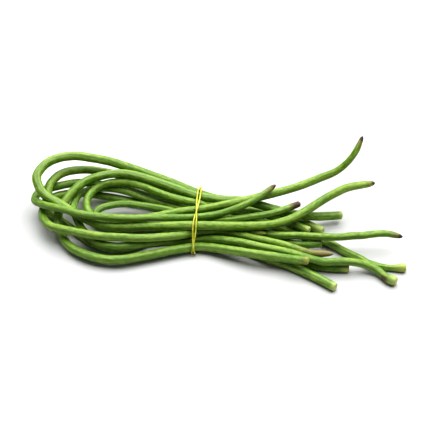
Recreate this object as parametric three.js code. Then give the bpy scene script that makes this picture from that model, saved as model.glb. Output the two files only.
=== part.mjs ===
// A bunch of fresh yardlong beans: eight pods, each folded back on itself in one long loop, held
// together by a rubber band wound twice round the middle. The folds lie towards -X, the stem ends and
// the tips fan out towards +X, and the bunch lies on z = 0. Lengths are in millimetres, +Z is up.
import * as THREE from "three";

// ---- driving dimensions ----
const SIDES = 10; // facets round a pod
const LONG_STEP = 10; // spacing of a pod's rings where it runs straight
const SHORT_STEP = 4.5; // and where it turns tightly
const TURN_PER_RING = 0.3; // radians that a pod may turn between two rings
const SKIN_GAP = 0.25; // air left between neighbouring skins
const CURVE_SAMPLES = 1200; // fine steps along a route

const SETTLE_ROUNDS = 420; // passes of pushing the pods clear of each other
const OWN_LINKS_APART = 6; // links of one pod this close along it never touch
const SMOOTHING = 0.5; // how far a push spreads to a ring's neighbours, in the first pass

const BAND_THICKNESS = 1.6; // diameter of the rubber strand
const BAND_SIDES = 6;
const BAND_STEPS = 150; // along both windings
const BAND_TURNS = 2;
const BAND_SPREAD = 1.5; // half the distance between the two windings, along the bunch
const BAND_LIFT = 0.8; // how far a winding stands out where it crosses over the other, halved
const BAND_DIP = BAND_LIFT / 4; // how far a winding sinks between two crossings
const BAND_TURN_DEG = 7; // the band's plane, turned from square to the bunch
// How often the windings have crossed, against the turn: shares of one from the front edge, round
// below. They lie side by side under the bunch, and cross an odd number of times in each turn, so
// that the strand closes on itself after two.
const BAND_WEAVE = [[0.47, 0], [0.76, 1], [0.97, 2], [1.03, 2.5], [1.37, 2.5], [1.47, 3]];
const BAND_BELOW = 2 * SKIN_GAP + BAND_THICKNESS + BAND_DIP; // room for the band under the bunch
const BAND_CROSSES = BAND_WEAVE[BAND_WEAVE.length - 1][1];
const BAND_BED = 45; // how far from the band the pods come down to the surface

// Distance from a pod's end, then the share of its girth there.
const FLARED_STEM = [[0, 0.75], [1, 1.03], [4, 1.1], [8, 0.95], [13, 0.77], [20, 0.77], [32, 0.97]];
const SWOLLEN_STEM = [[0, 0.8], [1, 1.1], [5, 1.23], [10, 1.1], [14, 0.95], [22, 0.97]];
const CUT_END = [[0, 0.72], [0.7, 0.95], [6, 0.98], [16, 1]];
const TIP_END = [[0, 0.2], [1, 0.42], [3, 0.6], [6.5, 0.78], [13, 0.87], [30, 0.95]];
const THIN_TIP = [[0, 0.2], [1.5, 0.4], [7, 0.6], [14, 0.77], [30, 0.81], [45, 0.88], [62, 1]];
const BEAK_END = [[0, 0.2], [1, 0.4], [6, 0.76], [13, 0.93], [20, 0.86], [30, 0.96]];
const BLUNT_TIP = [[0, 0.5], [1, 0.78], [5, 0.86], [14, 0.97]];

const POD_GREEN = 0x6a9a35;
const BAND_YELLOW = 0xe3dc2a;

// Each route runs from the stem end, round the fold, to the tip. Girths are radii at the stem end, in
// the fold and at the tip.
const PODS = [
  {
    name: "pod_1",
    girth: [4.6, 4.8, 4.4],
    ends: [CUT_END, TIP_END],
    route: [
      [123.5, 20, 4.5], [109, 25.5, 4.5], [96, 30.5, 4.5], [67.5, 36.5, 4.5], [51.5, 39, 5],
      [31, 39.5, 6], [-8, 35.5, 15.5], [-36.5, 38.5, 23], [-69.5, 42.5, 29.5], [-99.5, 40, 39.5],
      [-118.5, 35.5, 45], [-133.5, 33.5, 46.5], [-147.5, 27, 47], [-155.5, 21, 46], [-161, 14, 44],
      [-164.5, 1, 39.5], [-154.5, -12, 30.5], [-135.5, -18, 25], [-111, -28.5, 22.5],
      [-85, -33, 19], [-41, -24.5, 19], [4, -17, 21], [20.5, -14, 21.5], [45, -8, 21],
      [75, 2.5, 20], [95.5, 16, 22], [121, 39.5, 30.5], [131, 47, 34], [140.5, 53, 37],
      [148.5, 56, 38.5], [167, 64, 39],
    ],
  },
  {
    name: "pod_2",
    girth: [4.5, 4.5, 4.6],
    ends: [CUT_END, BLUNT_TIP],
    route: [
      [139, 42.5, 5.5], [123, 35, 7.5], [111.5, 28.5, 10.5], [99, 24, 13.5], [89, 23.5, 14],
      [69, 25.5, 15.5], [43.5, 27, 19.5], [18.5, 24, 20], [-5, 24, 20.5], [-34, 27.5, 26],
      [-67, 32, 30.5], [-81.5, 31.5, 32.5], [-93.5, 29, 32.5], [-115, 19.5, 29.5],
      [-127.5, 5.5, 25], [-134, -9, 19], [-136.5, -16, 15.5], [-136, -22.5, 10.5], [-130, -36, 5],
      [-115, -54, 6], [-91.5, -64, 6.5], [-66.5, -64.5, 6.5], [-39, -52.5, 6], [-13, -38.5, 5],
      [9.5, -28, 3.5], [34.5, -30, 7], [64, -34, 11], [94.5, -34, 11.5], [109.5, -37, 15],
      [117.5, -37.5, 16.5],
    ],
  },
  {
    name: "pod_3",
    girth: [4.1, 4.2, 3.6],
    ends: [CUT_END, TIP_END],
    route: [
      [125, -1, 10.5], [105, -5, 8], [79, -0.5, 4.5], [47, 8, 4.5], [20.5, 15, 4.5],
      [-4.5, 21, 4.5], [-24, 29, 4.5], [-51, 31.5, 5.5], [-67.5, 33.5, 7.5], [-83.5, 35.5, 10],
      [-99.5, 34.5, 12.5], [-112.5, 32, 15], [-122.5, 28, 18.5], [-132.5, 23, 21], [-146, 16, 21],
      [-155, 11, 20.5], [-162.5, 4.5, 21], [-163.5, -10, 22], [-149, -20.5, 26.5],
      [-129.5, -26.5, 30], [-104.5, -32, 31.5], [-66, -26.5, 28.5], [-32.5, -16, 25.5],
      [1.5, -5, 23], [21, 2, 24.5], [41.5, 12, 29.5], [56.5, 22.5, 34.5], [71.5, 38, 41],
    ],
  },
  {
    name: "pod_4",
    girth: [4.1, 4.5, 3.7],
    ends: [CUT_END, BEAK_END],
    route: [
      [111, 12, 9.5], [95, 18, 10], [83, 23.5, 9], [68.5, 29.5, 7], [52.5, 33, 6.5],
      [32.5, 30.5, 6], [17, 30.5, 6.5], [-6.5, 29, 8.5], [-21.5, 32, 12], [-41.5, 37, 15.5],
      [-74, 41.5, 20], [-101, 40.5, 24], [-125, 36, 28], [-146, 24, 29], [-153.5, 7, 26.5],
      [-152.5, -3.5, 22], [-153, -13, 16.5], [-153.5, -20, 13], [-139, -40.5, 17],
      [-115.5, -46.5, 19.5], [-84, -49.5, 21], [-64.5, -47, 21], [-46.5, -44, 20.5],
      [-19.5, -32, 17], [-4, -21.5, 13.5], [6, -13, 11.5], [20.5, -10, 12], [35, -8, 12],
      [43, -8, 11.5], [61, -10.5, 12], [90.5, -14.5, 12.5], [106.5, -18, 12], [118, -20.5, 12.5],
      [138, -17, 12],
    ],
  },
  {
    name: "pod_5",
    girth: [4.1, 4.3, 3.4],
    ends: [SWOLLEN_STEM, BEAK_END],
    route: [
      [201.5, -34, 5], [192.5, -31, 4.5], [182.5, -23.5, 5.5], [172.5, -21, 7.5], [160.5, -23, 11],
      [146, -26, 12.5], [132, -29.5, 12], [117.5, -28.5, 12.5], [98, -24.5, 12.5], [68, -21.5, 12],
      [47.5, -19.5, 12], [27, -18, 10.5], [13.5, -16.5, 7.5], [-2.5, -19.5, 5], [-20, -30.5, 10],
      [-37.5, -40, 13], [-55.5, -48, 14], [-72, -52, 14], [-88, -50, 14], [-103.5, -39.5, 14.5],
      [-115.5, -25, 15.5], [-125, -7, 16.5], [-124, 11.5, 17], [-111.5, 22, 17.5], [-86, 26, 17],
      [-53, 21, 13], [-26.5, 16.5, 12.5], [-1.5, 8.5, 12.5], [27.5, 6, 10], [48.5, -2.5, 11.5],
      [71, -3.5, 13],
    ],
  },
  {
    name: "pod_6",
    girth: [3.9, 4.1, 4.4],
    ends: [FLARED_STEM, THIN_TIP],
    route: [
      [208.5, -13.5, 4], [193.5, -16, 3], [184, -16, 3], [174, -15, 3.5], [162.5, -9, 4],
      [148.5, -3, 4.5], [133, 5.5, 5], [101.5, 14, 4], [72, 22, 4.5], [56.5, 24, 6],
      [44.5, 24.5, 8], [18.5, 23, 12], [6, 20.5, 15.5], [-5.5, 17.5, 20.5], [-32, 19, 23],
      [-65.5, 28, 25], [-81, 29.5, 25], [-94.5, 26, 25], [-108, 18, 22], [-113.5, 1.5, 18],
      [-103.5, -15.5, 14.5], [-79, -18.5, 14.5], [-45, -10.5, 19], [-16.5, 0.5, 22], [6.5, 10, 22],
      [44, 25.5, 26], [85.5, 46.5, 31], [99.5, 54, 34], [113, 61, 38.5], [127.5, 67, 44.5],
      [136.5, 71.5, 52.5], [143, 75.5, 61.5], [146, 80.5, 68], [149, 88, 76],
    ],
  },
  {
    name: "pod_7",
    girth: [4.2, 3.7, 3.7],
    ends: [CUT_END, BLUNT_TIP],
    route: [
      [155, -26, 3.5], [133, -29, 3.5], [113, -28.5, 4], [98, -25.5, 4], [82.5, -21.5, 4],
      [56.5, -13.5, 4], [29.5, -5.5, 4], [19, -3.5, 4], [0, 0, 4], [-45.5, -10, 4], [-83, -17, 4.5],
      [-101.5, -10.5, 6.5], [-101.5, -2, 10.5], [-81.5, 10.5, 12.5], [-51, 13, 13],
      [-24, 10.5, 13.5], [0, 0, 12], [15.5, 2, 15], [28.5, 2.5, 18], [51.5, 9.5, 20],
      [75, 18, 22.5], [98, 30.5, 28],
    ],
  },
  {
    name: "pod_8",
    girth: [4.7, 4.2, 3.8],
    ends: [CUT_END, TIP_END],
    route: [
      [146, -54, 4.5], [125, -44, 4.5], [99.5, -34.5, 4.5], [69, -26.5, 4], [53, -22, 4.5],
      [37, -16, 4.5], [21, -11.5, 4.5], [2, -8, 4.5], [-23.5, -16, 4.5], [-37.5, -26, 4],
      [-51, -37, 4], [-70.5, -46, 4], [-90, -45, 4], [-110.5, -35, 4.5], [-129, -23, 5],
      [-142.5, -15, 6], [-157, -6.5, 9], [-152.5, 5.5, 12], [-132.5, 19, 11], [-102, 24, 8.5],
      [-69.5, 24.5, 7], [-39, 26, 7], [-22.5, 22, 9], [-3.5, 16.5, 12.5], [25.5, 14, 12.5],
      [52.5, 5.5, 12.5], [72.5, -2, 10], [103, -1, 12.5], [138, 1, 15.5], [156, 4.5, 18],
      [165, 6, 19], [175, 9.5, 20], [184.5, 11.5, 20.5], [201, 10.5, 20.5],
    ],
  },
];

const BAND_NORMAL = new THREE.Vector3(1, 0, 0);
BAND_NORMAL.applyAxisAngle(new THREE.Vector3(0, 0, 1), THREE.MathUtils.degToRad(BAND_TURN_DEG));
const BAND_ACROSS = new THREE.Vector3(-BAND_NORMAL.y, BAND_NORMAL.x, 0);

// ---- pods ----

/** The value at x on a curve given as [x, value] corners, level beyond its ends. */
function along(corners, x) {
  if (x <= corners[0][0]) return corners[0][1];
  for (let i = 1; i < corners.length; i++) {
    const [x0, v0] = corners[i - 1];
    const [x1, v1] = corners[i];
    if (x <= x1) return THREE.MathUtils.lerp(v0, v1, (x - x0) / (x1 - x0));
  }
  return corners[corners.length - 1][1];
}

/** A pod's radius at a distance from its stem end. */
function girthAt(pod, distance, length) {
  const [stem, fold, tip] = pod.girth;
  const body = along([[0, stem], [length / 2, fold], [length, tip]], distance);
  return body * along(pod.ends[0], distance) * along(pod.ends[1], length - distance);
}

/** Where a pod's rings stand along it: at its ends' corners, and closer together where it turns. */
function ringDistances(pod, curve, length) {
  const fromStem = pod.ends[0].map(([distance]) => distance);
  const fromTip = pod.ends[1].map(([distance]) => length - distance).reverse();
  const begin = fromStem[fromStem.length - 1];
  const finish = fromTip[0];
  const fine = [];
  let budget = 0;
  for (let i = 0; i <= CURVE_SAMPLES; i++) {
    const distance = THREE.MathUtils.lerp(begin, finish, i / CURVE_SAMPLES);
    const stride = (finish - begin) / CURVE_SAMPLES;
    const here = curve.getTangentAt(distance / length);
    const next = curve.getTangentAt(Math.min(1, (distance + stride) / length));
    const turn = here.angleTo(next) / stride;
    const step = THREE.MathUtils.clamp(TURN_PER_RING / turn, SHORT_STEP, LONG_STEP);
    fine.push([budget, distance]);
    budget += stride / step;
  }
  const count = Math.ceil(fine[CURVE_SAMPLES][0]);
  const middle = [];
  for (let i = 1; i < count; i++) middle.push(along(fine, (i / count) * fine[CURVE_SAMPLES][0]));
  return [...fromStem, ...middle, ...fromTip];
}

/** A pod as a chain of rings: each a centre and a radius. */
function chainOf(pod) {
  const corners = pod.route.map(([x, y, z]) => new THREE.Vector3(x, y, z));
  const curve = new THREE.CatmullRomCurve3(corners, false, "centripetal");
  curve.arcLengthDivisions = CURVE_SAMPLES;
  const length = curve.getLength();
  const distances = ringDistances(pod, curve, length);
  return {
    name: pod.name,
    length,
    centres: distances.map((distance) => curve.getPointAt(distance / length)),
    radii: distances.map((distance) => girthAt(pod, distance, length)),
  };
}

/** The two nearest points of segments p0-p1 and q0-q1, as shares of each. */
function nearest(p0, p1, q0, q1) {
  const u = p1.clone().sub(p0);
  const v = q1.clone().sub(q0);
  const w = p0.clone().sub(q0);
  const [uu, uv, vv, uw, vw] = [u.dot(u), u.dot(v), v.dot(v), u.dot(w), v.dot(w)];
  const flat = uu * vv - uv * uv;
  let s = flat > 1e-9 ? THREE.MathUtils.clamp((uv * vw - vv * uw) / flat, 0, 1) : 0.5;
  const t = THREE.MathUtils.clamp((uv * s + vw) / vv, 0, 1);
  s = THREE.MathUtils.clamp((uv * t - uw) / uu, 0, 1);
  return [s, t];
}

/** Moves two links of chains apart until their skins are SKIN_GAP from each other. */
function partLinks(a, i, b, j) {
  const [p0, p1, q0, q1] = [a.centres[i], a.centres[i + 1], b.centres[j], b.centres[j + 1]];
  const reach = a.reach[i] + b.reach[j];
  if (p0.distanceToSquared(q0) > reach * reach) return;
  const [s, t] = nearest(p0, p1, q0, q1);
  const radiusA = THREE.MathUtils.lerp(a.radii[i], a.radii[i + 1], s);
  const radiusB = THREE.MathUtils.lerp(b.radii[j], b.radii[j + 1], t);
  const apart = p0.clone().lerp(p1, s).sub(q0.clone().lerp(q1, t));
  const short = radiusA + radiusB + SKIN_GAP - apart.length();
  if (short <= 0) return;
  const shares = [1 - s, s, 1 - t, t];
  apart.normalize().multiplyScalar(short / shares.reduce((sum, share) => sum + share * share, 0));
  p0.addScaledVector(apart, shares[0]);
  p1.addScaledVector(apart, shares[1]);
  q0.addScaledVector(apart, -shares[2]);
  q1.addScaledVector(apart, -shares[3]);
}

/** Spreads each ring's shift from its first place to its neighbours, so that no push leaves a kink. */
function smoothShift(chain, strength) {
  const shifts = chain.centres.map((centre, i) => centre.clone().sub(chain.first[i]));
  const last = shifts.length - 1;
  chain.centres.forEach((centre, i) => {
    const around = shifts[Math.max(0, i - 1)].clone().add(shifts[Math.min(last, i + 1)]);
    const eased = shifts[i].clone().lerp(around.multiplyScalar(0.5), strength);
    centre.copy(chain.first[i]).add(eased);
  });
}

/** The height of what the pods lie on: the surface, and a low hump over the band. */
function bedAt(centre) {
  const away = Math.min(1, Math.abs(centre.dot(BAND_NORMAL)) / BAND_BED);
  return BAND_BELOW * 0.5 * (1 + Math.cos(Math.PI * away));
}

/** Pushes all the pods clear of each other and of the bed that they lie on. */
function settle(chains) {
  const lowest = Math.cos(Math.PI / SIDES); // a facet, not a corner, faces the surface
  for (const chain of chains) {
    chain.first = chain.centres.map((centre) => centre.clone());
    chain.reach = chain.radii.map((radius) => radius + LONG_STEP + SKIN_GAP);
  }
  for (let round = 0; round < SETTLE_ROUNDS; round++) {
    const strength = SMOOTHING * Math.max(0, 1 - (1.25 * round) / SETTLE_ROUNDS);
    if (strength > 0) chains.forEach((chain) => smoothShift(chain, strength));
    chains.forEach((a, m) => {
      for (let n = m; n < chains.length; n++) {
        const b = chains[n];
        const skip = n === m ? OWN_LINKS_APART : 0;
        for (let i = 0; i < a.centres.length - 1; i++) {
          for (let j = n === m ? i + skip : 0; j < b.centres.length - 1; j++) partLinks(a, i, b, j);
        }
      }
    });
    for (const { centres, radii } of chains) {
      centres.forEach((centre, i) => {
        centre.z = Math.max(centre.z, bedAt(centre) + radii[i] * lowest);
      });
    }
  }
}

/** A straight turned pod, led along its settled centres with one facet always facing down. */
function podGeometry({ centres, radii }) {
  const last = centres.length - 1;
  const profile = [new THREE.Vector2(0, 0)];
  radii.forEach((radius, i) => profile.push(new THREE.Vector2(radius, i)));
  profile.push(new THREE.Vector2(0, last));
  const geometry = new THREE.LatheGeometry(profile, SIDES);
  const place = geometry.getAttribute("position");
  const up = new THREE.Vector3(0, 0, 1);
  for (let k = 0; k < place.count; k++) {
    const row = k % profile.length;
    const column = Math.floor(k / profile.length) % SIDES;
    const ring = THREE.MathUtils.clamp(row - 1, 0, last);
    const ahead = centres[Math.min(last, ring + 1)].clone().sub(centres[Math.max(0, ring - 1)]);
    const side = ahead.clone().cross(up).normalize();
    const top = side.clone().cross(ahead).normalize();
    const angle = ((column + 0.5) / SIDES) * 2 * Math.PI;
    const point = centres[ring].clone();
    point.addScaledVector(side, profile[row].x * Math.sin(angle));
    point.addScaledVector(top, profile[row].x * Math.cos(angle));
    place.setXYZ(k, point.x, point.y, point.z);
  }
  return geometry;
}

// ---- rubber band ----

/** Every corner of the pods' solids close to the band's plane, as [across, height] on that plane. */
function sectionPoints(geometries) {
  const half = BAND_SPREAD + BAND_THICKNESS;
  const found = [];
  for (const geometry of geometries) {
    const place = geometry.getAttribute("position");
    const index = geometry.getIndex();
    for (let k = 0; k < index.count; k++) {
      const next = k % 3 === 2 ? k - 2 : k + 1;
      const a = new THREE.Vector3().fromBufferAttribute(place, index.getX(k));
      const b = new THREE.Vector3().fromBufferAttribute(place, index.getX(next));
      const [da, db] = [a.dot(BAND_NORMAL), b.dot(BAND_NORMAL)];
      for (const level of [-half, 0, half]) {
        if ((da - level) * (db - level) >= 0) continue;
        const cut = a.clone().lerp(b, (level - da) / (db - da));
        found.push([cut.dot(BAND_ACROSS), cut.z]);
      }
    }
  }
  return found;
}

/** The outline round a set of points, counter-clockwise. */
function hull(points) {
  const sorted = [...points].sort((a, b) => a[0] - b[0] || a[1] - b[1]);
  const half = (list) => {
    const kept = [];
    for (const p of list) {
      while (kept.length > 1) {
        const [a, b] = kept.slice(-2);
        if ((b[0] - a[0]) * (p[1] - a[1]) - (b[1] - a[1]) * (p[0] - a[0]) > 0) break;
        kept.pop();
      }
      kept.push(p);
    }
    return kept.slice(0, -1);
  };
  return [...half(sorted), ...half(sorted.reverse())];
}

/** The stretched band's path on its plane: the outline moved out by a distance, with round corners. */
function bandPath(outline, distance) {
  const path = new THREE.CurvePath();
  const count = outline.length;
  const outward = outline.map(([x, y], i) => {
    const [nx, ny] = outline[(i + 1) % count];
    return Math.atan2(x - nx, ny - y);
  });
  const offset = ([x, y], angle) =>
    new THREE.Vector2(x + distance * Math.cos(angle), y + distance * Math.sin(angle));
  outline.forEach((corner, i) => {
    const before = outward[(i + count - 1) % count];
    const after = outward[i];
    path.add(new THREE.EllipseCurve(corner[0], corner[1], distance, distance, before, after, false));
    path.add(new THREE.LineCurve(offset(corner, after), offset(outline[(i + 1) % count], after)));
  });
  return path;
}

/** A torus led twice round the bunch along the stretched path; the two windings cross in places. */
function bandGeometry(podGeometries) {
  const radius = BAND_THICKNESS / 2;
  const clearance = SKIN_GAP + radius + BAND_DIP;
  const path = bandPath(hull(sectionPoints(podGeometries)), clearance);
  const rings = [];
  for (let i = 0; i < BAND_STEPS; i++) {
    const turn = BAND_WEAVE[0][0] + (i / BAND_STEPS) * BAND_TURNS;
    const flat = path.getPointAt(turn % 1);
    const ahead = path.getTangentAt(turn % 1);
    const lap = Math.floor(i / (BAND_STEPS / BAND_TURNS));
    const weave = Math.PI * (along(BAND_WEAVE, turn - lap) + lap * BAND_CROSSES);
    const over = Math.cos(weave);
    const out = new THREE.Vector2(ahead.y, -ahead.x);
    flat.addScaledVector(out, BAND_LIFT * (over + over * over));
    const centre = BAND_ACROSS.clone().multiplyScalar(flat.x);
    centre.z = flat.y;
    centre.addScaledVector(BAND_NORMAL, BAND_SPREAD * Math.sin(weave));
    const outside = BAND_ACROSS.clone().multiplyScalar(out.x);
    outside.z = out.y;
    rings.push({ centre, outside });
  }
  const geometry = new THREE.TorusGeometry(1, radius, BAND_SIDES, BAND_STEPS);
  const place = geometry.getAttribute("position");
  for (let k = 0; k < place.count; k++) {
    const ring = rings[(k % (BAND_STEPS + 1)) % BAND_STEPS];
    const angle = ((Math.floor(k / (BAND_STEPS + 1)) % BAND_SIDES) / BAND_SIDES) * 2 * Math.PI;
    const point = ring.centre.clone();
    point.addScaledVector(ring.outside, radius * Math.cos(angle));
    point.addScaledVector(BAND_NORMAL, radius * Math.sin(angle));
    place.setXYZ(k, point.x, point.y, point.z);
  }
  return geometry;
}

// ---- the bunch ----

function podMaterial() {
  return new THREE.MeshStandardMaterial({ color: POD_GREEN, roughness: 0.45, metalness: 0 });
}

function bandMaterial() {
  return new THREE.MeshStandardMaterial({ color: BAND_YELLOW, roughness: 0.55, metalness: 0 });
}

function named(name, geometry, material) {
  const mesh = new THREE.Mesh(geometry, material);
  mesh.name = name;
  return mesh;
}

const chains = PODS.map(chainOf);
settle(chains);

const bunch = new THREE.Group();
const podGeometries = chains.map(podGeometry);
podGeometries.forEach((geometry, i) => bunch.add(named(PODS[i].name, geometry, podMaterial())));
bunch.add(named("rubber_band", bandGeometry(podGeometries), bandMaterial()));

// The origin is under the middle of the bunch, on the surface that it lies on.
const extent = new THREE.Box3().setFromObject(bunch);
const middle = extent.getCenter(new THREE.Vector3());
bunch.position.set(-middle.x, -middle.y, -extent.min.z);

export default bunch;
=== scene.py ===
"""A bunch of yardlong beans, folded double and held by a rubber band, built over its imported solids.

Every pod follows the route and girth of its solid, with a fine round skin, its seams, the low swells
over its seeds and its own two ends. Lengths are in metres unless a name says otherwise.
"""

import math
import random

import bmesh
import bpy
from bpy.props import FloatProperty, FloatVectorProperty, IntProperty, PointerProperty
from mathutils import Matrix, Vector


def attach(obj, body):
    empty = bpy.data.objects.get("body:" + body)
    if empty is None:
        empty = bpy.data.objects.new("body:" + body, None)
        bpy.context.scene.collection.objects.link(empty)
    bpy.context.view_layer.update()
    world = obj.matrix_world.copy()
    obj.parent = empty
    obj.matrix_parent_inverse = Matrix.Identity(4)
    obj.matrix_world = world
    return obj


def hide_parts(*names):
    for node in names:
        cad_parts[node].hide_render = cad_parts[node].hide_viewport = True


bl_info = {
    "name": "Yardlong bean bunch",
    "version": (1, 0, 0),
    "blender": (4, 5, 0),
    "location": "3D View > Sidebar > Beans",
    "description": "Builds a tied bunch of yardlong beans over its packed solids",
    "category": "Add Mesh",
}

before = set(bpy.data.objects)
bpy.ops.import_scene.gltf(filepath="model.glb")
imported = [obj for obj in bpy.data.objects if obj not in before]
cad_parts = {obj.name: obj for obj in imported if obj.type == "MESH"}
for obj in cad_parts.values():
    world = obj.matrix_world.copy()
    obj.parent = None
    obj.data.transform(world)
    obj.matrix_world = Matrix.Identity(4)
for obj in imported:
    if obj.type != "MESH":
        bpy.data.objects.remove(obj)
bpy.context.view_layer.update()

MM = 0.001
UP = Vector((0, 0, 1))
SOLID_SIDES = 10  # facets round a pod's solid
MERGE = 1e-6  # corners closer than this are one

# ---- what each pod looks like ----

PALE_CUT = (0.48, 0.52, 0.20)
OCHRE_CUT = (0.50, 0.43, 0.11)
BROWN_CUT = (0.12, 0.075, 0.03)
TAN_TIP = (0.27, 0.32, 0.065)
BEIGE_TIP = (0.25, 0.20, 0.085)
DARK_TIP = (0.035, 0.022, 0.02)
BROWN_TIP = (0.085, 0.052, 0.03)
RED_BROWN = (0.17, 0.10, 0.03)
HUSK_MARK = (0.09, 0.045, 0.02)

# groove: share of the length, then the seam's angle from the pod's top, in degrees.
# tone: above 0, how yellow the green is; below 0, how far the green is darkened as painted shade, for
# the pods that lie in shade.
# stem_pale and tip_brown: lengths in millimetres that are discoloured at the ends.
# tip_faded: length before the dark tip over which the green turns tan, in millimetres.
# ring: how far from the stem end, in millimetres, the mark of a fallen husk lies.
PODS = {
    "pod_1": dict(
        groove=[(0, -70), (0.30, -60), (0.42, -30), (0.50, 10), (0.62, 80), (1, 120)],
        tone_or_shade=0.1, stem=PALE_CUT, stem_pale=18, tip=DARK_TIP, tip_brown=3.5, tip_faded=6,
    ),
    "pod_2": dict(
        groove=[(0, 0), (0.30, -30), (0.40, -20), (0.55, 60), (1, 50)],
        tone_or_shade=-0.1, stem=PALE_CUT, stem_pale=5, tip=TAN_TIP, tip_brown=4.5, tip_faded=2,
    ),
    "pod_3": dict(
        groove=[(0, 60), (0.4, 90), (0.6, 75), (1, 100)],
        tone_or_shade=-0.2, stem=BROWN_CUT, stem_pale=1.5, tip=BROWN_TIP, tip_brown=5, tip_faded=12,
    ),
    "pod_4": dict(
        groove=[(0, -40), (0.30, -40), (0.38, -20), (0.5, 60), (1, 100)],
        tone_or_shade=0.1, stem=PALE_CUT, stem_pale=7, tip=BEIGE_TIP, tip_brown=18, tip_faded=30,
    ),
    "pod_5": dict(
        groove=[(0, -70), (0.3, -75), (0.6, -60), (1, 0)],
        tone_or_shade=-0.1, stem=PALE_CUT, stem_pale=9, ring=11.5, tip=TAN_TIP, tip_brown=9, tip_faded=3,
    ),
    "pod_6": dict(
        groove=[(0, -60), (0.4, 20), (0.7, 90), (1, 130)],
        tone_or_shade=0.1, stem=OCHRE_CUT, stem_pale=14, tip=DARK_TIP, tip_brown=5, tip_faded=10,
    ),
    "pod_7": dict(
        groove=[(0, -20), (0.5, 20), (1, 70)],
        tone_or_shade=-0.2, stem=OCHRE_CUT, stem_pale=9, tip=BROWN_TIP, tip_brown=9, tip_faded=4,
    ),
    "pod_8": dict(
        groove=[(0, -35), (0.4, -40), (0.7, 60), (1, 80)],
        tone_or_shade=0.0, stem=PALE_CUT, stem_pale=5, tip=DARK_TIP, tip_brown=4, tip_faded=11,
    ),
}


def along(corners, x):
    """The value at x on a line given by its corners, level beyond its ends."""
    if x <= corners[0][0]:
        return corners[0][1]
    for (x0, v0), (x1, v1) in zip(corners, corners[1:]):
        if x <= x1:
            share = (x - x0) / (x1 - x0)
            return v0 + (v1 - v0) * share
    return corners[-1][1]


# ---- settings that a user would change ----

# Half the rendered picture's width and the camera's focal length, both in that picture's pixels.
HALF_WIDTH = 215
FOCAL_LENGTH = 1101


class PodSettings(bpy.types.PropertyGroup):
    sides: IntProperty(name="Sides", description="Faces round a pod", default=40, min=12)
    ring_gap: FloatProperty(
        name="Ring spacing", description="Distance between a pod's rings", default=1.7 * MM,
        min=0.5 * MM, subtype="DISTANCE", unit="LENGTH",
    )
    groove_depth: FloatProperty(
        name="Seam depth", description="Depth of the seam along a pod", default=0.2 * MM,
        min=0, subtype="DISTANCE", unit="LENGTH",
    )
    seed_gap: FloatProperty(
        name="Seed spacing", description="Distance between two seeds", default=11 * MM,
        min=4 * MM, subtype="DISTANCE", unit="LENGTH",
    )
    seed_swell: FloatProperty(
        name="Seed swell", description="How far a seed lifts the skin", default=0.2 * MM,
        min=0, subtype="DISTANCE", unit="LENGTH",
    )
    light_green: FloatVectorProperty(
        name="Light green", description="The skin's palest green", subtype="COLOR",
        size=3, min=0, max=1, default=(0.24, 0.365, 0.045),
    )
    deep_green: FloatVectorProperty(
        name="Deep green", description="The skin's deepest green", subtype="COLOR",
        size=3, min=0, max=1, default=(0.092, 0.21, 0.003),
    )


class BandSettings(bpy.types.PropertyGroup):
    plumper: FloatProperty(
        name="Plumper", description="How far the strand is rounded out", default=0.2 * MM,
        min=0, subtype="DISTANCE", unit="LENGTH",
    )
    yellow: FloatVectorProperty(
        name="Rubber yellow", description="Colour of the rubber", subtype="COLOR",
        size=3, min=0, max=1, default=(0.42, 0.42, 0.02),
    )


class StageSettings(bpy.types.PropertyGroup):
    aim: FloatVectorProperty(
        name="Aim", description="The point that the camera looks at", size=3,
        default=(-0.0047, 0.0050, 0.0119), subtype="TRANSLATION", unit="LENGTH",
    )
    distance: FloatProperty(
        name="Distance", description="From the camera to its aim", default=1.1, min=0.3,
        subtype="DISTANCE", unit="LENGTH",
    )
    azimuth: FloatProperty(
        name="Azimuth", description="How far the camera stands round to the right",
        default=math.radians(12), subtype="ANGLE", unit="ROTATION",
    )
    elevation: FloatProperty(
        name="Elevation", description="How steeply the camera looks down",
        default=math.radians(42), subtype="ANGLE", unit="ROTATION",
    )
    view_angle: FloatProperty(
        name="View angle", description="The camera's angle across the picture",
        default=2 * math.atan(HALF_WIDTH / FOCAL_LENGTH), subtype="ANGLE", unit="ROTATION",
    )
    floor: FloatVectorProperty(
        name="Floor", description="Colour of the floor", subtype="COLOR", size=3, min=0, max=1,
        default=(0.535, 0.535, 0.535),
    )


# ---- materials ----


class Wire:
    """A node's output. Sums, differences, products and the like of wires add Math nodes."""

    def __init__(self, finish, socket):
        self.finish = finish
        self.socket = socket

    def maths(self, operation, first, second):
        settings = {"operation": operation}
        return self.finish.node("ShaderNodeMath", settings, {0: first, 1: second})

    def __add__(self, other):
        return self.maths("ADD", self, other)

    def __radd__(self, other):
        return self.maths("ADD", other, self)

    def __sub__(self, other):
        return self.maths("SUBTRACT", self, other)

    def __rsub__(self, other):
        return self.maths("SUBTRACT", other, self)

    def __mul__(self, other):
        return self.maths("MULTIPLY", self, other)

    def __rmul__(self, other):
        return self.maths("MULTIPLY", other, self)

    def __truediv__(self, other):
        return self.maths("DIVIDE", self, other)

    def __rtruediv__(self, other):
        return self.maths("DIVIDE", other, self)

    def __pow__(self, other):
        return self.maths("POWER", self, other)

    def __rpow__(self, other):
        return self.maths("POWER", other, self)

    def most(self, other):
        return self.maths("MAXIMUM", self, other)


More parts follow.
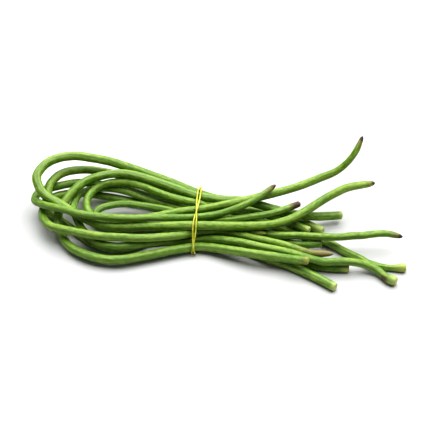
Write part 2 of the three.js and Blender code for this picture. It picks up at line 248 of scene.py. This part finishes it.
class Finish:
    """A material that is being wired."""

    def __init__(self, name):
        self.material = bpy.data.materials.new(name)
        self.material.use_nodes = True
        self.tree = self.material.node_tree
        self.tree.nodes.clear()

    def node(self, kind, settings=None, inputs=None, output=0):
        """Adds a node: its settings first, then its sockets' values and links."""
        made = self.tree.nodes.new(kind)
        for name, value in (settings or {}).items():
            setattr(made, name, value)
        for key, value in (inputs or {}).items():
            if isinstance(value, Wire):
                self.tree.links.new(value.socket, made.inputs[key])
            else:
                made.inputs[key].default_value = value
        return Wire(self, made.outputs[output])

    def scaled(self, vector, factors):
        return self.node(
            "ShaderNodeVectorMath", {"operation": "MULTIPLY"}, {0: vector, 1: factors}
        )

    def noise(self, vector, detail=2.0, rough=0.5):
        inputs = {"Vector": vector, "Scale": 1.0, "Detail": detail, "Roughness": rough}
        return self.node("ShaderNodeTexNoise", {}, inputs)

    def mix(self, share, first, second):
        """Two colours mixed."""
        settings = {"data_type": "RGBA", "blend_type": "MIX", "clamp_factor": True}
        first = first if isinstance(first, Wire) else (*first, 1)
        second = second if isinstance(second, Wire) else (*second, 1)
        return self.node("ShaderNodeMix", settings, {0: share, 6: first, 7: second}, output=2)

    def ramp(self, value, low, high, start=0.0, end=1.0):
        """A value from start to end as another goes from low to high, eased, and level beyond."""
        settings = {"interpolation_type": "SMOOTHSTEP"}
        inputs = {"Value": value, 1: low, 2: high, 3: start, 4: end}
        return self.node("ShaderNodeMapRange", settings, inputs)

    def surface(self, constants, links):
        """Closes the material with one Principled surface."""
        shader = self.node("ShaderNodeBsdfPrincipled", {}, {**constants, **links})
        end = self.tree.nodes.new("ShaderNodeOutputMaterial")
        self.tree.links.new(shader.socket, end.inputs["Surface"])
        return self.material


def blend(first, second, share):
    """A colour between two, worked out beforehand."""
    return tuple(a + (b - a) * share for a, b in zip(first, second))


# How fine each pattern is on its three axes, in patches per metre. A pod's first axis runs along it.
STREAKS = (70, 1100, 1100)
BLOTCHES = (190, 420, 420)
LENGTHS = (18, 70, 70)
GRAIN = (700, 1400, 1400)
RUBBER_CLOUD = (260, 260, 260)
RUBBER_GRAIN = (2500, 2500, 2500)
PAPER_CLOUD = (3, 3, 3)

# Where the painted shade in the seams' grooves and the painted highlight on their lips begin and
# where they are full, as the cosine of the angle from the seam.
LIP_HIGHLIGHT_FACING = (0.74, 0.92)
GROOVE_SHADE_FACING = (0.93, 0.998)
FAR_GROOVE_SHADE_FACING = (-0.96, -0.999)

RIM_OF_CUT = (0.6 * MM, 1.6 * MM)  # from the stem end, the stretch over which the rim's colour fades
HUSK_MARK_REACH = 3.4  # about how far the husk's mark spreads to each side, in millimetres
SKIN_BUMP = 0.5 * MM
RUBBER_BUMP = 0.05 * MM
NEARLY_NOTHING = 1e-6  # keeps a division clear of zero

YELLOWED = (0.27, 0.34, 0.05)
# Painted shade: the deeper green that the pods lying in shade are darkened towards.
PAINTED_SHADE_GREEN = (0.06, 0.17, 0.04)
PALE_RUBBER = (1, 1, 0.35)
PAPER_WHITE = (1, 1, 1)
PALE_STEM = (0.36, 0.48, 0.13)
# Darker green of the small specks, and painted shade in the seams' grooves.
SPECK_AND_GROOVE_SHADE_GREEN = (0.06, 0.14, 0.012)
# Painted highlight: the paler green of the raised lips beside each seam.
PAINTED_LIP_HIGHLIGHT_GREEN = (0.30, 0.44, 0.12)


def pod_finish(name, facts, settings):
    """The skin of one pod: streaked and blotched green, painted shade in its seams' grooves and
    painted highlight on their lips, painted shade over the green of pods in shade, and its own two
    ends.
    """
    finish = Finish(f"{name} skin")
    place = finish.node("ShaderNodeAttribute", {"attribute_name": "straight"}, output=1)
    ends = finish.node("ShaderNodeAttribute", {"attribute_name": "ends"}, output=1)
    across = [finish.node("ShaderNodeSeparateXYZ", {}, {0: place}, output=i) for i in range(3)]
    from_stem, from_tip, cut = [
        finish.node("ShaderNodeSeparateXYZ", {}, {0: ends}, output=i) for i in range(3)
    ]
    shifted = finish.node(
        "ShaderNodeVectorMath", {"operation": "ADD"}, {0: place, 1: (facts["seed"], 0, 0)}
    )
    streaks = finish.noise(finish.scaled(shifted, STREAKS), detail=3, rough=0.6)
    blotches = finish.noise(finish.scaled(shifted, BLOTCHES), detail=3, rough=0.6)
    lengths = finish.noise(finish.scaled(shifted, LENGTHS), detail=1)
    grain = finish.noise(finish.scaled(shifted, GRAIN), detail=2)

    # A tone below 0 is painted shade: the pod's greens are pulled towards a shaded green.
    yellow_or_painted_shade = YELLOWED if facts["tone_or_shade"] > 0 else PAINTED_SHADE_GREEN
    light = blend(settings.light_green, yellow_or_painted_shade, abs(facts["tone_or_shade"]))
    deep = blend(settings.deep_green, yellow_or_painted_shade, abs(facts["tone_or_shade"]) * 0.5)
    share = streaks * 0.4 + blotches * 0.5 + lengths * 0.25
    colour = finish.mix(finish.ramp(share, 0.48, 0.65), deep, light)
    specks = finish.ramp(grain, 0.56, 0.72) * 0.35
    colour = finish.mix(specks, colour, SPECK_AND_GROOVE_SHADE_GREEN)

    reach = (across[1] * across[1] + across[2] * across[2]) ** 0.5 + NEARLY_NOTHING
    facing = across[1] / reach
    # Painted highlight: the raised lips beside the seam are made paler.
    lip_highlight = finish.ramp(facing, *LIP_HIGHLIGHT_FACING) * 0.25
    colour = finish.mix(lip_highlight, colour, PAINTED_LIP_HIGHLIGHT_GREEN)
    # Painted shade: the seam's groove, and more faintly the groove on the far side, are made darker.
    seam = finish.ramp(facing, *GROOVE_SHADE_FACING) * finish.ramp(lengths, 0.35, 0.65, 0.2, 0.6)
    far_seam = finish.ramp(facing, *FAR_GROOVE_SHADE_FACING) * 0.25
    colour = finish.mix(seam.most(far_seam), colour, SPECK_AND_GROOVE_SHADE_GREEN)

    ragged = (blotches - 0.5) * 0.5 + (streaks - 0.5) * 0.7
    stem_pale = facts["stem_pale"] * MM
    stem_share = finish.ramp(from_stem / stem_pale + ragged, 0.15, 1.15, 1, 0)
    colour = finish.mix(stem_share * 0.8, colour, blend(facts["stem"], PALE_STEM, 0.6))
    if "ring" in facts:
        off_ring = (from_stem / MM - facts["ring"]) / HUSK_MARK_REACH
        ring = finish.ramp(off_ring * off_ring + ragged * 2, 0.3, 1.1, 1, 0)
        below = finish.ramp(across[2] / reach, 0.0, 0.8, 1, 0.15)
        colour = finish.mix(ring * below * 0.9, colour, HUSK_MARK)
    rim = finish.ramp(from_stem, *RIM_OF_CUT, 1, 0)
    colour = finish.mix(rim * 0.6, colour, blend(facts["stem"], PALE_STEM, 0.35))
    fibres = finish.ramp(grain, 0.35, 0.65, 0.55, 1.0)
    face = finish.mix(fibres, blend(facts["stem"], BROWN_CUT, 0.5), facts["stem"])
    colour = finish.mix(cut, colour, face)
    tip_brown = facts["tip_brown"] * MM
    past_tip = (from_tip - tip_brown) / (facts["tip_faded"] * MM)
    faded = finish.ramp(past_tip + ragged * 1.5, 0.0, 1.0, 1, 0)
    colour = finish.mix(faded * 0.6, colour, RED_BROWN)
    tip_share = finish.ramp(from_tip / tip_brown + ragged * 1.6, 0.55, 1.25, 1, 0)
    colour = finish.mix(tip_share * 0.95, colour, facts["tip"])

    rough = finish.ramp(streaks, 0.3, 0.7, 0.42, 0.60) + tip_share * 0.2
    height = streaks * 0.5 + grain * 0.2 + blotches
    normal = finish.node(
        "ShaderNodeBump", {}, {"Strength": 0.7, "Distance": SKIN_BUMP, "Height": height}
    )
    constants = {
        "Subsurface Weight": 0.12,
        "Subsurface Radius": (0.0012, 0.002, 0.0005),
        "Subsurface Scale": 1.0,
        "Specular IOR Level": 0.65,
    }
    return finish.surface(
        constants, {"Base Color": colour, "Roughness": rough, "Normal": normal}
    )


def band_finish(settings):
    """Soft yellow rubber with faint paler clouds."""
    finish = Finish("yellow rubber")
    place = finish.node("ShaderNodeTexCoord", output=3)
    cloud = finish.noise(finish.scaled(place, RUBBER_CLOUD), detail=2)
    grain = finish.noise(finish.scaled(place, RUBBER_GRAIN), detail=2)
    paler = blend(settings.yellow, PALE_RUBBER, 0.3)
    colour = finish.mix(finish.ramp(cloud, 0.35, 0.65), tuple(settings.yellow), paler)
    normal = finish.node(
        "ShaderNodeBump", {}, {"Strength": 0.3, "Distance": RUBBER_BUMP, "Height": grain}
    )
    rough = finish.ramp(grain, 0.3, 0.7, 0.42, 0.6)
    constants = {"Subsurface Weight": 0.15, "Subsurface Radius": (0.002, 0.002, 0.0004)}
    return finish.surface(
        constants, {"Base Color": colour, "Roughness": rough, "Normal": normal}
    )


def floor_finish(settings):
    """Plain matt paper, very slightly uneven."""
    finish = Finish("floor paper")
    place = finish.node("ShaderNodeTexCoord", output=3)
    cloud = finish.noise(finish.scaled(place, PAPER_CLOUD))
    paper = tuple(settings.floor)
    colour = finish.mix(finish.ramp(cloud, 0.3, 0.7), paper, blend(paper, PAPER_WHITE, 0.04))
    return finish.surface({"Specular IOR Level": 0.1, "Roughness": 0.9}, {"Base Color": colour})


# ---- pods ----


def solid_rings(node):
    """The centre and the radius of each ring of a pod's solid, from its stem end to its tip."""
    solid = bmesh.new()
    solid.from_mesh(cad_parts[node].data)
    bmesh.ops.remove_doubles(solid, verts=solid.verts, dist=MERGE)
    solid.verts.index_update()
    pole = next(v for v in solid.verts if len(v.link_edges) == SOLID_SIDES)
    layer = [pole]
    reached = {pole}
    rings = []
    while layer:
        beyond = {edge.other_vert(v) for v in layer for edge in v.link_edges} - reached
        layer = sorted(beyond, key=lambda v: v.index)
        reached.update(layer)
        if len(layer) == SOLID_SIDES:
            centre = sum((v.co for v in layer), Vector()) / SOLID_SIDES
            rings.append((centre, sum((v.co - centre).length for v in layer) / SOLID_SIDES))
    solid.free()
    if rings[0][1] < rings[-1][1]:
        rings.reverse()
    return rings


class Route:
    """A smooth line through a pod's rings, measured from its stem end."""

    def __init__(self, rings):
        self.centres = [centre for centre, radius in rings]
        self.radii = [radius for centre, radius in rings]
        self.marks = [0.0]
        for here, there in zip(self.centres, self.centres[1:]):
            self.marks.append(self.marks[-1] + (there - here).length)
        self.length = self.marks[-1]
        self.leads = self.slopes(self.centres, self.weighted)
        self.flares = self.slopes(self.radii, self.cautious)

    def slopes(self, values, join):
        """The slope at each mark, joined from those of the two stretches beside it."""
        gaps = [b - a for a, b in zip(self.marks, self.marks[1:])]
        stretch = [(b - a) / gap for a, b, gap in zip(values, values[1:], gaps)]
        inner = [
            join(stretch[i], stretch[i + 1], gaps[i], gaps[i + 1]) for i in range(len(gaps) - 1)
        ]
        return [stretch[0], *inner, stretch[-1]]

    @staticmethod
    def weighted(before, after, gap_before, gap_after):
        return (before * gap_after + after * gap_before) / (gap_before + gap_after)

    @staticmethod
    def cautious(before, after, gap_before, gap_after):
        """A slope that never makes the girth overshoot."""
        return 0.0 if before * after <= 0 else 2 / (1 / before + 1 / after)

    def eased(self, values, slopes, distance):
        """A value between two marks, on a cubic with the slopes at both."""
        distance = min(max(distance, 0.0), self.length)
        i = 0
        while i < len(self.marks) - 2 and distance > self.marks[i + 1]:
            i += 1
        gap = self.marks[i + 1] - self.marks[i]
        t = (distance - self.marks[i]) / gap
        start = values[i] * (2 * t**3 - 3 * t**2 + 1) + slopes[i] * (gap * (t**3 - 2 * t**2 + t))
        end = values[i + 1] * (3 * t**2 - 2 * t**3) + slopes[i + 1] * (gap * (t**3 - t**2))
        return start + end

    def centre(self, distance):
        return self.eased(self.centres, self.leads, distance)

    def girth(self, distance):
        return self.eased(self.radii, self.flares, distance)

    def frame(self, distance):
        """The directions ahead, to the side and to the pod's top."""
        reach = 0.5 * MM
        ahead = (self.centre(distance + reach) - self.centre(distance - reach)).normalized()
        side = ahead.cross(UP).normalized()
        return ahead, side, side.cross(ahead)


# The closing rings of an end: share of the end's girth, then how far each stands out in millimetres.
CUT_FACE = [(0, 0.05), (0.3, 0), (0.55, -0.1), (0.75, -0.05)]
TIP_CAP = [(0, 0.55), (0.35, 0.5), (0.65, 0.35), (0.88, 0.14)]
# The skin rounds off towards a cut face: millimetres from the face, then the share of the girth left.
CUT_SHOULDER = [(0, 0.84), (0.3, 0.92), (0.8, 0.98), (1.5, 1)]
FIRST_RING_GAP = 0.3 * MM  # rings stand this close at the ends, and each next gap is wider
RING_GAP_GROWTH = 1.3


def pod_rows(length, gap):
    """The rings of a pod: distance, share of the girth, how far it stands out, and if it is cut."""
    near = [0.0]
    step = FIRST_RING_GAP
    while step < gap:
        near.append(near[-1] + step)
        step *= RING_GAP_GROWTH
    count = round((length - 2 * near[-1]) / gap)
    inner = (length - 2 * near[-1]) / count
    distances = near[:-1] + [near[-1] + inner * i for i in range(count + 1)]
    distances += [length - d for d in reversed(near[:-1])]
    rows = [(0.0, share, -out * MM, 1.0) for share, out in CUT_FACE]
    rows += [(d, along(CUT_SHOULDER, d / MM), 0.0, 0.0) for d in distances]
    rows += [(length, share, out * MM, 0.0) for share, out in reversed(TIP_CAP)]
    return rows


def bell(x, width):
    return math.exp(-((x / width) ** 2))


FULL_GIRTH = 0.98  # the most that a pod's own skin fills of its solid's girth, seeds apart
WAVES = 3
WAVE_SIZES = (0.012, 0.024)  # shares of the girth
WAVE_LENGTHS = (30 * MM, 90 * MM)
WAVE_STARTS = (0, 6)  # radians
SEEDS_FROM_STEM = 22 * MM
SEEDS_FROM_TIP = 30 * MM
SEED_SIZES = (0.2, 1.0)  # shares of the seed swell
SEED_GAPS = (0.8, 1.25)  # shares of the seed spacing
SEED_REACH = 3.6 * MM
RELIEF_FADE = 14 * MM  # from each end, the relief grows over this length
SEAM_WIDTH = 13  # degrees round the pod, as the next two are
LIP_ANGLE = 30
FAR_SEAM_WIDTH = 11
LIP_SHARE = 0.4  # of the seam's depth, as the next one is
FAR_SEAM_SHARE = 0.4


class Relief:
    """How far a pod's skin stands from its even girth."""

    def __init__(self, facts, length, settings):
        draw = random.Random(facts["seed"])
        self.settings = settings
        self.waves = [
            (
                draw.uniform(*WAVE_SIZES),
                2 * math.pi / draw.uniform(*WAVE_LENGTHS),
                draw.uniform(*WAVE_STARTS),
            )
            for _ in range(WAVES)
        ]
        self.seeds = []
        at = SEEDS_FROM_STEM
        while at < length - SEEDS_FROM_TIP:
            self.seeds.append((at, draw.uniform(*SEED_SIZES)))
            at += settings.seed_gap * draw.uniform(*SEED_GAPS)

    def girth_share(self, distance):
        """The pod's slow swells, held back so that its seeds don't reach into the next pod."""
        waves = sum(size * math.sin(pace * distance + start) for size, pace, start in self.waves)
        return min(FULL_GIRTH, 1 + waves)

    def seed_lift(self, distance):
        return max(size * bell(distance - at, SEED_REACH) for at, size in self.seeds)

    def lift(self, lift_of_seeds, turn, fade):
        """The height of the skin at an angle from the seam."""
        off = math.degrees(abs((turn + math.pi) % (2 * math.pi) - math.pi))
        seam = -bell(off, SEAM_WIDTH) + LIP_SHARE * bell(off - LIP_ANGLE, SEAM_WIDTH)
        far_seam = -FAR_SEAM_SHARE * bell(180 - off, FAR_SEAM_WIDTH)
        seeds = self.settings.seed_swell * lift_of_seeds * math.sin(turn) ** 2
        return fade * (self.settings.groove_depth * (seam + far_seam) + seeds)


def build_pod(name, facts, settings):
    """Leads a sheet of faces round and along a pod's route, and closes its seam and its ends."""
    route = Route(solid_rings(name))
    rows = pod_rows(route.length, settings.ring_gap)
    relief = Relief(facts, route.length, settings)
    pod = bmesh.new()
    straight = pod.verts.layers.float_vector.new("straight")
    ends = pod.verts.layers.float_vector.new("ends")
    bmesh.ops.create_grid(pod, x_segments=len(rows) - 1, y_segments=settings.sides, size=1)
    columns = {}
    for v in pod.verts:
        columns.setdefault(round((v.co.x + 1) / 2 * (len(rows) - 1)), []).append(v)
    for i, (distance, share, out, cut) in enumerate(rows):
        ahead, side, top = route.frame(distance)
        centre = route.centre(distance) + ahead * out
        girth = route.girth(distance) * relief.girth_share(distance)
        fade = share * min(1, min(distance, route.length - distance) / RELIEF_FADE)
        seeds = relief.seed_lift(distance)
        seam = math.radians(along(facts["groove"], distance / route.length))
        for v in columns[i]:
            angle = (v.co.y + 1) * math.pi
            radius = girth * share + relief.lift(seeds, angle - seam, fade)
            v[straight] = (
                distance,
                radius * math.cos(angle - seam),
                radius * math.sin(angle - seam),
            )
            v[ends] = (distance, route.length - distance, cut)
            v.co = centre + side * (radius * math.sin(angle)) + top * (radius * math.cos(angle))
            v.co.z = max(v.co.z, 0)
    bmesh.ops.remove_doubles(pod, verts=pod.verts, dist=MERGE)
    bmesh.ops.recalc_face_normals(pod, faces=pod.faces)
    for face in pod.faces:
        face.smooth = True
    return finished(f"bean_{name}", pod, pod_finish(name, facts, settings), name)


def finished(name, shape, material, node):
    """Makes a bmesh a piece that rides with the bunch in place of its solid."""
    mesh = bpy.data.meshes.new(name)
    shape.to_mesh(mesh)
    shape.free()
    mesh.materials.append(material)
    piece = bpy.data.objects.new(name, mesh)
    bpy.context.scene.collection.objects.link(piece)
    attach(piece, "root")
    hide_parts(node)
    return piece


class BEANS_OT_pods(bpy.types.Operator):
    """Builds the eight bean pods"""

    bl_idname = "beans.pods"
    bl_label = "Bean pods"

    def execute(self, context):
        for number, (name, facts) in enumerate(PODS.items(), 1):
            build_pod(name, {**facts, "seed": number}, context.scene.bean_pods)
        return {"FINISHED"}


# ---- rubber band ----

# Two triangles become one face with four sides unless they lean or are skewed by more than this.
JOIN_LEAN = math.radians(50)
JOIN_SKEW = math.radians(120)
ROUNDINGS = 2  # times that the strand's faces are split


class BEANS_OT_band(bpy.types.Operator):
    """Builds the rubber band that goes twice round the bunch"""

    bl_idname = "beans.band"
    bl_label = "Rubber band"

    def execute(self, context):
        settings = context.scene.bean_band
        band = bmesh.new()
        band.from_mesh(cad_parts["rubber_band"].data)
        bmesh.ops.remove_doubles(band, verts=band.verts, dist=MERGE)
        bmesh.ops.join_triangles(
            band, faces=band.faces, angle_face_threshold=JOIN_LEAN,
            angle_shape_threshold=JOIN_SKEW,
        )
        band.normal_update()
        for v in band.verts:
            v.co += v.normal * settings.plumper
        for face in band.faces:
            face.smooth = True
        piece = finished("band_strand", band, band_finish(settings), "rubber_band")
        rounding = piece.modifiers.new("rounding", "SUBSURF")
        rounding.levels = ROUNDINGS
        rounding.render_levels = ROUNDINGS
        return {"FINISHED"}


# ---- floor, light and camera ----

FLOOR_REACH = 4  # from the middle to each side
SOFTBOX_PLACE = (0.05, 0.8, 1.9)
SOFTBOX_SIZE = (3.5, 2.9)
SOFTBOX_WATTS = 116
STUDIO_WHITE = (1, 1, 1, 1)
STUDIO_LIGHT = 0.17  # strength of the light from all round
NEAREST_SEEN = 0.05
FARTHEST_SEEN = 20


def add_softbox(name, place, aim, size, watts):
    """A large soft light that looks at a point."""
    lamp = bpy.data.lights.new(name, "AREA")
    lamp.shape = "RECTANGLE"
    lamp.size, lamp.size_y = size
    lamp.energy = watts
    holder = bpy.data.objects.new(name, lamp)
    bpy.context.scene.collection.objects.link(holder)
    holder.location = place
    holder.rotation_euler = (Vector(aim) - Vector(place)).to_track_quat("-Z", "Y").to_euler()


class BEANS_OT_stage(bpy.types.Operator):
    """Builds the pale floor, the soft light and the camera"""

    bl_idname = "beans.stage"
    bl_label = "Floor, light and camera"

    def execute(self, context):
        settings = context.scene.bean_stage
        sheet = bmesh.new()
        bmesh.ops.create_grid(sheet, x_segments=1, y_segments=1, size=FLOOR_REACH)
        mesh = bpy.data.meshes.new("floor")
        sheet.to_mesh(mesh)
        sheet.free()
        mesh.materials.append(floor_finish(settings))
        floor = bpy.data.objects.new("floor", mesh)
        context.scene.collection.objects.link(floor)

        aim = Vector(settings.aim)
        add_softbox("softbox", SOFTBOX_PLACE, aim, SOFTBOX_SIZE, SOFTBOX_WATTS)
        world = bpy.data.worlds.new("studio")
        world.use_nodes = True
        sky = world.node_tree.nodes["Background"]
        sky.inputs["Color"].default_value = STUDIO_WHITE
        sky.inputs["Strength"].default_value = STUDIO_LIGHT
        context.scene.world = world
        context.scene.view_settings.view_transform = "Standard"
        context.scene.view_settings.look = "High Contrast"

        back = Vector((0, -1, 0))
        back.rotate(Matrix.Rotation(-settings.elevation, 3, "X"))
        back.rotate(Matrix.Rotation(settings.azimuth, 3, "Z"))
        lens = bpy.data.cameras.new("camera")
        lens.sensor_fit = "HORIZONTAL"
        lens.angle = settings.view_angle
        lens.clip_start = NEAREST_SEEN
        lens.clip_end = FARTHEST_SEEN
        camera = bpy.data.objects.new("camera", lens)
        context.scene.collection.objects.link(camera)
        camera.location = aim + back * settings.distance
        camera.rotation_euler = (-back).to_track_quat("-Z", "Y").to_euler()
        context.scene.camera = camera
        return {"FINISHED"}


class BEANS_PT_bunch(bpy.types.Panel):
    """Lists the steps that build the bunch, with their settings"""

    bl_idname = "BEANS_PT_bunch"
    bl_label = "Yardlong beans"
    bl_space_type = "VIEW_3D"
    bl_region_type = "UI"
    bl_category = "Beans"

    def draw(self, context):
        steps = [
            (BEANS_OT_pods, context.scene.bean_pods),
            (BEANS_OT_band, context.scene.bean_band),
            (BEANS_OT_stage, context.scene.bean_stage),
        ]
        for step, settings in steps:
            box = self.layout.box()
            box.operator(step.bl_idname)
            for key in settings.bl_rna.properties.keys():
                if key not in ("rna_type", "name"):
                    box.prop(settings, key)


SETTINGS = {"bean_pods": PodSettings, "bean_band": BandSettings, "bean_stage": StageSettings}
STEPS = (BEANS_OT_pods, BEANS_OT_band, BEANS_OT_stage)


def register():
    for made in (*SETTINGS.values(), *STEPS, BEANS_PT_bunch):
        bpy.utils.register_class(made)
    for name, group in SETTINGS.items():
        setattr(bpy.types.Scene, name, PointerProperty(type=group))


def unregister():
    for name in SETTINGS:
        delattr(bpy.types.Scene, name)
    for made in (BEANS_PT_bunch, *STEPS, *SETTINGS.values()):
        bpy.utils.unregister_class(made)


def main():
    register()
    bpy.ops.beans.pods()
    bpy.ops.beans.band()
    bpy.ops.beans.stage()


if __name__ == "__main__":
    main()
